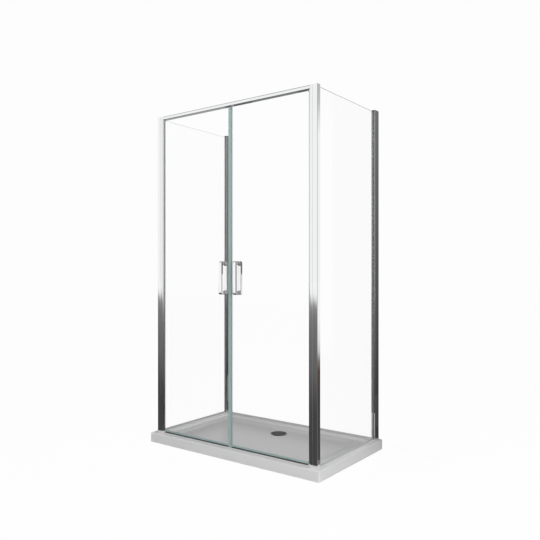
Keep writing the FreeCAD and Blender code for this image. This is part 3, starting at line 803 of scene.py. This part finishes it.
@dataclass
class CornerPost(Sided):
    """Post with a wide crowned band, a seam, a crowned lip and a round hollow for the hinge stile."""

    outer_x: float = 570.0
    front_y: float = -318.0
    band: float = 28.0
    width: float = 43.0
    depth: float = 28.0
    lip_depth: float = 18.0
    corner: float = 2.0
    crown: float = 0.3
    groove_half: float = 0.8
    groove_depth: float = 1.0
    lip_edge: float = 0.6
    lip_edge_depth: float = 0.5
    pivot_in: float = 4.0
    pivot_back: float = 9.0
    hollow_radius: float = 7.4
    step: float = 2.0
    pocket: Pair = (3.0, 13.0)
    pocket_front: float = 14.0
    back_edge: float = 0.6
    bottom_z: float = 67.0
    top_z: float = 1963.0

    def section(self) -> np.ndarray:
        """Section, worked out inwards from the outer face and back from the front.

        Returns:
            Loop of points in X and Y.
        """
        crown, back, heel = self.crown, self.depth, self.band + self.step
        groove, lip = self.band + self.groove_half, self.width - self.lip_edge
        near, far = self.pocket
        half = math.degrees(math.acos(self.pivot_in / self.hollow_radius))
        pivot = (self.width + self.pivot_in, self.pivot_back)
        flat = np.concatenate([
            arc((self.corner, crown + self.corner), self.corner, 180, 270, 8),
            bow((self.corner, crown), (self.band - self.groove_half, crown), -crown, 15)[1:],
            np.array([(self.band, crown + self.groove_depth)]),
            bow((groove, crown), (lip, crown), -crown, 11),
            np.array([(self.width, crown + self.lip_edge_depth)]),
            arc(pivot, self.hollow_radius, 180 + half, 180 - half, 13),
            np.array([
                (self.width, self.lip_depth), (heel, self.lip_depth), (heel, back), (far, back),
                (far, self.pocket_front), (near, self.pocket_front), (near, back),
                (self.back_edge, back), (0.0, back - self.back_edge),
            ]),
        ])
        return self.placed(flat, self.outer_x, self.front_y)

    def build(self) -> None:
        """Makes the post."""
        surface = carried(self.section(), 2, self.bottom_z, self.top_z)
        self.add("post_profile", surface, "polished_metal", BRIGHT_UPRIGHT, "corner_post")


@dataclass
class HeaderRail:
    """Level rail across the front, flush with the posts."""

    end_x: float = 527.0
    front_y: float = -318.0
    depth: float = 28.0
    bottom_z: float = 1945.0
    height: float = 20.0
    edge: float = 2.5
    brow: float = 6.0

    def section(self) -> np.ndarray:
        """Rectangle of depth and height with rounded edges, most of all the upper one in front."""
        back, top = self.front_y + self.depth, self.bottom_z + self.height
        return np.concatenate([
            arc((back - self.edge, top - self.edge), self.edge, 0, 90, 7),
            arc((self.front_y + self.brow, top - self.brow), self.brow, 90, 180, 13),
            arc((self.front_y + self.edge, self.bottom_z + self.edge), self.edge, 180, 270, 7),
            arc((back - self.edge, self.bottom_z + self.edge), self.edge, 270, 360, 7),
        ])

    def build(self) -> None:
        """Makes the rail in place of its node."""
        surface = carried(self.section(), 0, -self.end_x, self.end_x)
        add_piece("header_profile", surface, ROOT_BODY, "polished_metal", BRIGHT_LEVEL, ("header_rail",))


@dataclass
class WallChannel(Sided):
    """Upright channel at the back edge of a side pane."""

    centre_x: float = 562.0
    half: float = 12.0
    wall: float = 2.0
    edge: float = 1.5
    pocket_half: float = 5.0
    front_y: float = 304.0
    pocket_y: float = 330.0
    back_y: float = 350.0
    bottom_z: float = 55.0
    top_z: float = 1963.0

    def section(self) -> np.ndarray:
        """Open box with rounded front edges and a pocket for the pane.

        Returns:
            Loop of points in X and Y.
        """
        slot, room = self.pocket_half, self.half - self.wall
        half = np.concatenate([
            np.array([(-self.half, self.back_y)]),
            arc((self.edge - self.half, self.front_y + self.edge), self.edge, 180, 270, 6),
            np.array([(-slot, self.front_y), (-slot, self.pocket_y), (-room, self.pocket_y),
                      (-room, self.back_y - self.wall)]),
        ])
        return mirrored(half) + (self.side.value * self.centre_x, 0.0)

    def build(self) -> None:
        """Makes the channel."""
        surface = carried(self.section(), 2, self.bottom_z, self.top_z)
        self.add("channel_profile", surface, "polished_metal", BRIGHT_UPRIGHT, "wall_channel")


@dataclass
class SidePane(Sided):
    """Fixed clear pane."""

    centre_x: float = 562.0
    front_y: float = -302.0
    back_y: float = 328.0
    bottom_z: float = 58.0
    top_z: float = 1955.0

    def build(self) -> None:
        """Makes the pane, with ground edges."""
        outline = np.array([(self.front_y, self.bottom_z), (self.back_y, self.bottom_z),
                            (self.back_y, self.top_z), (self.front_y, self.top_z)])
        middle = self.side.value * self.centre_x
        surface = carried(outline, 0, middle - HALF_GLASS, middle + HALF_GLASS)
        self.add("side_pane", surface, "clear_glass", PANE, "side_glass",
                 rim=PANE_EDGE, bevel=PANE_BEVEL)


@dataclass
class Threshold:
    """Low strip on the front rim below the doors."""

    end_x: float = 514.0
    front_y: float = -315.0
    back_y: float = -303.0
    bottom_z: float = 55.0
    top_z: float = 58.0
    edge: float = 1.5
    bevel: float = 0.4

    def section(self) -> np.ndarray:
        """Section with a softly rounded top.

        Returns:
            Loop of points in Y and Z.
        """
        front = arc((self.front_y + self.edge, self.top_z - self.edge), self.edge, 180, 90, 6)
        back = arc((self.back_y - self.edge, self.top_z - self.edge), self.edge, 90, 0, 6)
        foot = np.array([(self.back_y, self.bottom_z), (self.front_y, self.bottom_z)])
        return np.concatenate([front, back, foot])

    def build(self) -> None:
        """Makes the strip in place of its node."""
        surface = carried(self.section(), 0, -self.end_x, self.end_x)
        add_piece("threshold_profile", surface, ROOT_BODY, "light_plastic", FOOT_PLASTIC,
                  ("threshold_strip",), bevel=self.bevel)


@dataclass
class Door(Sided):
    """Swinging pane with its round stile, soft strips and a handle on each face."""

    pivot_x: float = 523.0
    plane_y: float = -309.0
    free_x: float = 4.9
    bottom_z: float = 70.0
    strip_low: float = 60.0
    top_z: float = 1939.0
    notch: float = 8.2
    notch_low: float = 82.4
    notch_high: float = 1929.6
    stile_radius: float = 7.0
    stile_low: float = 68.2
    stile_high: float = 1943.8
    slot_half: float = 4.0
    slot_back: float = 3.4
    hinge_in: float = 2.4
    seal_nose: float = 0.4
    seal_round: float = 2.5
    seal_shoulder: float = 0.5
    seal_back: float = 11.0
    drip_start: float = 12.0
    drip_low: float = 66.8
    drip_top: float = 74.0
    drip_chamfer: Pair = (1.0, 1.5)
    fin_low: float = 58.8
    fin_half: float = 1.0
    handle_x: float = 50.5
    handle_low: float = 903.0
    handle_high: float = 1087.0
    handle_half: float = 11.0
    handle_root: float = 4.0
    handle_back: float = 16.0
    handle_front: float = 30.0
    handle_arm: float = 20.0
    outer_bend: float = 10.0
    inner_bend: float = 5.0
    handle_edge: float = 3.0

    @property
    def body(self) -> str:
        """The swinging body on this side."""
        return f"door_{self.side.label}"

    def build(self) -> None:
        """Makes the door's pieces in order."""
        self.build_pane()
        self.build_stile()
        self.build_meeting_strip()
        self.build_drip_strip()
        for facing in Facing:
            self.build_handle(facing)

    def build_pane(self) -> None:
        """Makes the pane with its notched hinge corners."""
        hinge, cut, free = self.pivot_x + self.hinge_in, self.pivot_x - self.notch, self.free_x
        outline = np.array([
            (cut, self.bottom_z), (cut, self.notch_low), (hinge, self.notch_low),
            (hinge, self.notch_high), (cut, self.notch_high), (cut, self.top_z),
            (free, self.top_z), (free, self.bottom_z),
        ]) * (self.side.value, 1.0)
        surface = carried(outline, 1, self.plane_y - HALF_GLASS, self.plane_y + HALF_GLASS)
        self.add("door_pane", surface, "clear_glass", PANE, "door_glass",
                 rim=PANE_EDGE, bevel=PANE_BEVEL)

    def build_stile(self) -> None:
        """Makes the slotted round stile."""
        lip = math.degrees(math.asin(self.slot_half / self.stile_radius))
        round_part = arc((0.0, 0.0), self.stile_radius, lip, 360 - lip, 49)
        slot = np.array([(-self.slot_back, -self.slot_half), (-self.slot_back, self.slot_half)])
        section = self.placed(np.concatenate([round_part, slot]), self.pivot_x, self.plane_y)
        surface = carried(section, 2, self.stile_low, self.stile_high)
        self.add("stile_profile", surface, "polished_metal", SATIN_STILE, "hinge_stile")

    def build_meeting_strip(self) -> None:
        """Makes the strip on the free edge: a round nose and two legs that grip the pane."""
        bend, web, back = self.seal_round, self.pivot_x - self.free_x, self.pivot_x - self.seal_back
        nose = self.pivot_x - self.seal_nose - bend
        leg = np.array([(web, HALF_GLASS), (back, HALF_GLASS), (back, SEAL_HALF - SEAL_EDGE),
                        (web + self.seal_shoulder, SEAL_HALF)])
        loop = np.concatenate([
            arc((nose, bend), bend, 90, 0, 6), arc((nose, -bend), bend, 0, -90, 6),
            leg[::-1] * (1.0, -1.0), leg,
        ])
        section = self.placed(loop, self.pivot_x, self.plane_y)
        surface = carried(section, 2, self.strip_low, self.top_z)
        self.add("meeting_strip", surface, "translucent_seal", SEAL, "meeting_seal")

    def build_drip_strip(self) -> None:
        """Makes the strip on the lower edge: a fin below and two legs that grip the pane."""
        fin, low, top, (run, rise) = self.fin_half, self.drip_low, self.drip_top, self.drip_chamfer
        half = np.array([
            (fin - SEAL_EDGE, self.fin_low), (fin, self.fin_low + SEAL_EDGE), (fin, low),
            (SEAL_HALF - run, low), (SEAL_HALF, low + rise), (SEAL_HALF, top - SEAL_EDGE),
            (SEAL_HALF - SEAL_EDGE, top), (HALF_GLASS, top), (HALF_GLASS, self.bottom_z),
        ])
        loop = mirrored(half) + (self.plane_y, 0.0)
        ends = sorted(self.side.value * x for x in (self.pivot_x - self.drip_start, self.seal_back))
        self.add("drip_strip", carried(loop, 0, *ends), "translucent_seal", LOW_SEAL, "drip_seal")

    def build_handle(self, facing: Facing) -> None:
        """Makes a bent bar handle.

        Its outline, out from the pane and up, is a C with round bends, carried across its width.

        Args:
            facing: Face of the door that it stands on.
        """
        root, outer, inner = self.handle_root, self.outer_bend, self.inner_bend
        low, high, front = self.handle_low, self.handle_high, self.handle_front - outer
        arm_low, arm_high, back = low + self.handle_arm, high - self.handle_arm, self.handle_back - inner
        loop = np.concatenate([
            np.array([(root, low)]),
            arc((front, low + outer), outer, 270, 360, 10),
            arc((front, high - outer), outer, 0, 90, 10),
            np.array([(root, high), (root, arm_high)]),
            arc((back, arm_high - inner), inner, 90, 0, 8),
            arc((back, arm_low + inner), inner, 0, -90, 8),
            np.array([(root, arm_low)]),
        ])
        section = np.column_stack([self.plane_y + facing.value * loop[:, 0], loop[:, 1]])
        middle, word = self.side.value * self.handle_x, facing.name.lower()
        surface = carried(section, 0, middle - self.handle_half, middle + self.handle_half)
        self.add(f"{word}_pull", surface, "polished_metal", CHROME_HANDLE, f"{word}_handle",
                 bevel=self.handle_edge, bevel_steps=5)


@dataclass
class KeptNodes:
    """Solids that stay as they are and only get a finish, named without their side."""

    groups: tuple[tuple[Finish, tuple[str, ...]], ...] = (
        (CHIP_BOARD, ("tray_base_board",)),
        (GREY_PLASTIC, ("tray_support_pads", "waste_body", "header_bracket", "handle_washers")),
        (FOOT_PLASTIC, ("waste_flange", "lower_pivot_bushes", "upper_pivot_bushes", "post_foot")),
        (RUBBER, ("waste_seal", "post_gasket", "channel_gasket", "stile_gasket")),
        (PLAIN_STEEL, ("header_screws", "pivot_pins", "handle_studs")),
        (BRIGHT_LEVEL, ("channel_caps", "post_cap")),
        (CLEAR_SEAL, ("panel_seal",)),
    )

    def dress(self, nodes: dict[str, bpy.types.Object]) -> None:
        """Gives each kept node its material.

        Args:
            nodes: The frame's nodes by name.
        """
        finishes = {name: finish for finish, names in self.groups for name in names}
        for name, node in nodes.items():
            finish = finishes.get(name) or finishes.get(name.rsplit("_", 1)[0])
            if finish:
                node.data.materials.clear()
                node.data.materials.append(finish.material())
                LOG.info("%s: %s", name, finish.title)


# Studio


def stage_sheet(name: str, corners: tuple[Spot, ...]) -> tuple[bpy.types.Object, Graph]:
    """A flat stage piece with its own material.

    Args:
        name: Name of the piece and its material.
        corners: Four corners in metres.

    Returns:
        The object and its material's graph.
    """
    mesh = bpy.data.meshes.new(name)
    mesh.from_pydata(list(corners), [], [(0, 1, 2, 3)])
    material = bpy.data.materials.new(name)
    material.use_nodes = True
    mesh.materials.append(material)
    made = linked(name, mesh)
    return made, Graph(material.node_tree)


@dataclass(frozen=True)
class Card:
    """A flat card beside the set that only mirrors show, shaded along one axis.

    Attributes:
        title: Name of the card.
        corners: Its four corners in metres.
        axis: Axis of the shading, 0, 1 or 2.
        start: Place on the axis where the shading begins, in metres.
        stop: Place where it ends.
        stops: Share of the way and the tone there, one number for a grey.
        flag: Whether the card also keeps light off the object.
    """

    title: str
    corners: tuple[Spot, ...]
    axis: int
    start: float
    stop: float
    stops: tuple[tuple[float, float | Rgb], ...]
    flag: bool = False

    def build(self) -> None:
        """Makes the card, hidden from the camera."""
        made, graph = stage_sheet(self.title, self.corners)
        share = ((graph.place(self.axis) - self.start) / (self.stop - self.start)).limited()
        stops = [(at, tone if isinstance(tone, tuple) else (tone,) * 3) for at, tone in self.stops]
        tone = graph.node("ShaderNodeValToRGB", {"stops": stops}, {"Fac": share})
        glow = graph.node("ShaderNodeEmission", {}, {"Color": tone, "Strength": 1.0})
        graph.node("ShaderNodeOutputMaterial", {}, {"Surface": glow})
        made.visible_camera = made.visible_transmission = made.visible_volume_scatter = False
        made.visible_diffuse = made.visible_shadow = self.flag


def level(x: Pair, y: Pair, z: float) -> tuple[Spot, ...]:
    """Corners of a level sheet."""
    return (x[0], y[0], z), (x[1], y[0], z), (x[1], y[1], z), (x[0], y[1], z)


def upright(start: Pair, stop: Pair, z: Pair) -> tuple[Spot, ...]:
    """Corners of an upright sheet between two places on the floor."""
    return (*start, z[0]), (*stop, z[0]), (*stop, z[1]), (*start, z[1])


def even(tone: float) -> tuple[Pair, ...]:
    """Stops of a card of one tone."""
    return (0.0, tone), (1.0, tone)


WHITE = (1.0, 1.0, 1.0, 1.0)
FAR = 40.0
FLOOR_Z, CARPET_Z, OVERLAY_Z = -0.001, -0.0005, -0.0004
SPLIT_X, SPLIT_Y = 0.62, -0.33
BOARD = ((0.0, 0.045), (0.3, 0.09), (0.6, 0.13), (1.0, 0.19))
CARDS = (
    Card("front_carpet", level((-FAR, SPLIT_X), (-FAR, SPLIT_Y), CARPET_Z), 1, -0.3, -30.3, (
        (0.0, 0.06), (0.04, 0.06), (0.09, 0.13), (0.28, 0.20), (0.38, 0.27),
        (0.44, 0.45), (0.50, 0.69), (0.56, 0.85), (0.64, 0.96), (0.8, 1.0))),
    Card("front_carpet_right", level((SPLIT_X, FAR), (-FAR, SPLIT_Y), CARPET_Z), 1, -0.3, -30.3, (
        (0.0, 0.16), (0.1, 0.26), (0.28, 0.38), (0.44, 0.6), (0.64, 1.0))),
    Card("back_carpet", level((SPLIT_X, FAR), (SPLIT_Y, FAR), CARPET_Z), 1, -0.3, 9.7, (
        (0.0, 0.07), (0.15, 0.06), (0.27, (0.095, 0.065, 0.05)), (0.33, (0.24, 0.19, 0.16)),
        (0.40, 0.62), (0.50, 0.81), (0.62, 0.88), (0.85, 1.0))),
    Card("back_carpet_left", level((-FAR, SPLIT_X), (SPLIT_Y, FAR), CARPET_Z), 1, -0.3, 9.7, (
        (0.0, 0.1), (0.3, 0.26), (0.62, 0.4), (0.75, 0.7), (0.9, 1.0))),
    Card("right_carpet", level((SPLIT_X, 3.6), (-1.6, -0.05), OVERLAY_Z), 1, -1.6, -0.05, even(0.2)),
    Card("back_board", upright((0.25, 1.7), (1.66, 1.7), (0.0, 2.7)), 2, 0.0, 2.7, BOARD),
    Card("back_board_left", upright((-1.66, 1.7), (0.25, 1.7), (1.0, 2.7)), 2, 0.0, 2.7, BOARD),
    Card("right_board", upright((3.6, -4.0), (3.6, 4.4), (0.0, 3.4)), 1, -4.0, 4.4, (
        (0.0, 0.2), (0.8, 0.2), (0.9, 0.34), (1.0, 0.55))),
    Card("high_back", upright((3.5, 7.0), (7.0, 7.0), (3.7, 8.0)), 2, 3.7, 4.7, (
        (0.0, 0.95), (0.3, 0.8), (0.6, 0.58), (1.0, 0.5))),
    Card("ceiling", level((-13.0, 5.0), (-5.0, 12.0), 6.0), 1, -5.0, 12.0, even(0.4)),
    Card("cabin_flag_right", upright((0.12, -0.268), (0.42, -0.268), (0.06, 2.3)), 2, 0.0, 2.0, (
        (0.0, 0.02), (0.15, 0.035), (0.35, 0.1), (0.75, 0.19), (1.0, 0.21))),
    Card("cabin_flag_left", upright((-1.25, -0.268), (-0.85, -0.268), (0.0, 2.3)), 2, 0.0, 2.0, (
        (0.0, 0.005), (0.12, 0.012), (0.35, 0.08), (0.75, 0.20), (1.0, 0.24))),
    Card("low_back", upright((-0.66, 0.365), (0.60, 0.365), (0.057, 0.12)), 2, 0.0, 0.1,
         even(0.04), flag=True),
    Card("side_flag", upright((0.605, 0.362), (0.95, 0.362), (0.0, 0.5)), 2, 0.0, 0.5,
         even(0.04), flag=True),
    Card("low_left", upright((-0.615, -0.30), (-0.615, 0.365), (0.057, 0.13)), 2, 0.0, 0.1,
         even(0.04), flag=True),
)
LAMPS = (("right_lamp", (3.8, -1.83, 1.6), 58.0), ("top_lamp", (0.2, -1.2, 3.6), 30.0))


@dataclass
class Studio:
    """Pale floor, even light, dark cards for the metal to mirror, and the camera."""

    eye: Spot = (2.148, -2.845, 1.039)
    azimuth: float = 36.49
    lens: float = 40.0
    sensor: float = 36.0
    sight: float = 200.0
    fill: float = 0.56
    shown: float = 0.98
    floor_tone: float = 0.86
    floor_glow: float = 0.96
    lamp_size: float = 3.0
    lamp_aim: Spot = (0.0, 0.0, 0.1)

    def build(self) -> None:
        """Makes the studio in order."""
        self.build_world()
        self.build_floor()
        for card in CARDS:
            card.build()
        self.build_lamps()
        self.build_camera()

    @staticmethod
    def seen_rays(graph: Graph) -> Value:
        """Tells rays that show something from those that light the object.

        Args:
            graph: The graph.

        Returns:
            One for rays from the camera, a mirror or a pane, none for others.
        """
        names = ("Is Camera Ray", "Is Glossy Ray", "Is Transmission Ray")
        camera, glossy, through = (graph.node("ShaderNodeLightPath", output=name) for name in names)
        return (camera + glossy + through).limited()

    def build_world(self) -> None:
        """Even light all round, shown as plain white."""
        world = bpy.context.scene.world = bpy.data.worlds.new("studio")
        world.use_nodes = True
        graph = Graph(world.node_tree)
        strength = self.seen_rays(graph) * (self.shown - self.fill) + self.fill
        sky = graph.node("ShaderNodeBackground", {}, {"Color": WHITE, "Strength": strength})
        graph.node("ShaderNodeOutputWorld", {}, {"Surface": sky})

    def build_floor(self) -> None:
        """Pale floor: white to the eye, with the object's soft shadow."""
        graph = stage_sheet("studio_floor", level((-FAR, FAR), (-FAR, FAR), FLOOR_Z))[1]
        pale = graph.node("ShaderNodeBsdfDiffuse", {}, {"Color": (*(self.floor_tone,) * 3, 1.0)})
        white = graph.node("ShaderNodeEmission", {}, {"Color": WHITE, "Strength": 1.0})
        share = self.seen_rays(graph) * self.floor_glow
        shown = graph.node("ShaderNodeMixShader", {}, {0: share, 1: pale, 2: white})
        graph.node("ShaderNodeOutputMaterial", {}, {"Surface": shown})

    def build_lamps(self) -> None:
        """Large soft lamps to the right and above, aimed at the tray."""
        for name, place, watts in LAMPS:
            data = bpy.data.lights.new(name, "AREA")
            data.shape, data.size, data.energy = "DISK", self.lamp_size, watts
            lamp = linked(name, data)
            lamp.location = place
            lamp.visible_glossy = False
            aim = np.subtract(self.lamp_aim, place)
            tilt = math.acos(-aim[2] / np.linalg.norm(aim))
            lamp.rotation_euler = (tilt, 0.0, math.atan2(aim[1], aim[0]) - math.pi / 2)

    def build_camera(self) -> None:
        """Level camera at the photograph's place and angle."""
        data = bpy.data.cameras.new("camera")
        data.lens, data.sensor_width, data.clip_end = self.lens, self.sensor, self.sight
        camera = bpy.context.scene.camera = linked("camera", data)
        camera.location = self.eye
        camera.rotation_euler = (math.pi / 2, 0.0, math.radians(self.azimuth))


def main() -> None:
    """Builds the enclosure piece by piece, then the studio."""
    logging.basicConfig(level=logging.INFO, format="%(name)s %(message)s")
    bpy.context.scene.view_settings.view_transform = "Standard"
    KeptNodes().dress(frame["nodes"])
    ShowerTray().build()
    WasteCover().build()
    HeaderRail().build()
    Threshold().build()
    for side in Side:
        CornerPost(side).build()
        WallChannel(side).build()
        SidePane(side).build()
        Door(side).build()
    Studio().build()


if __name__ == "__main__":
    main()
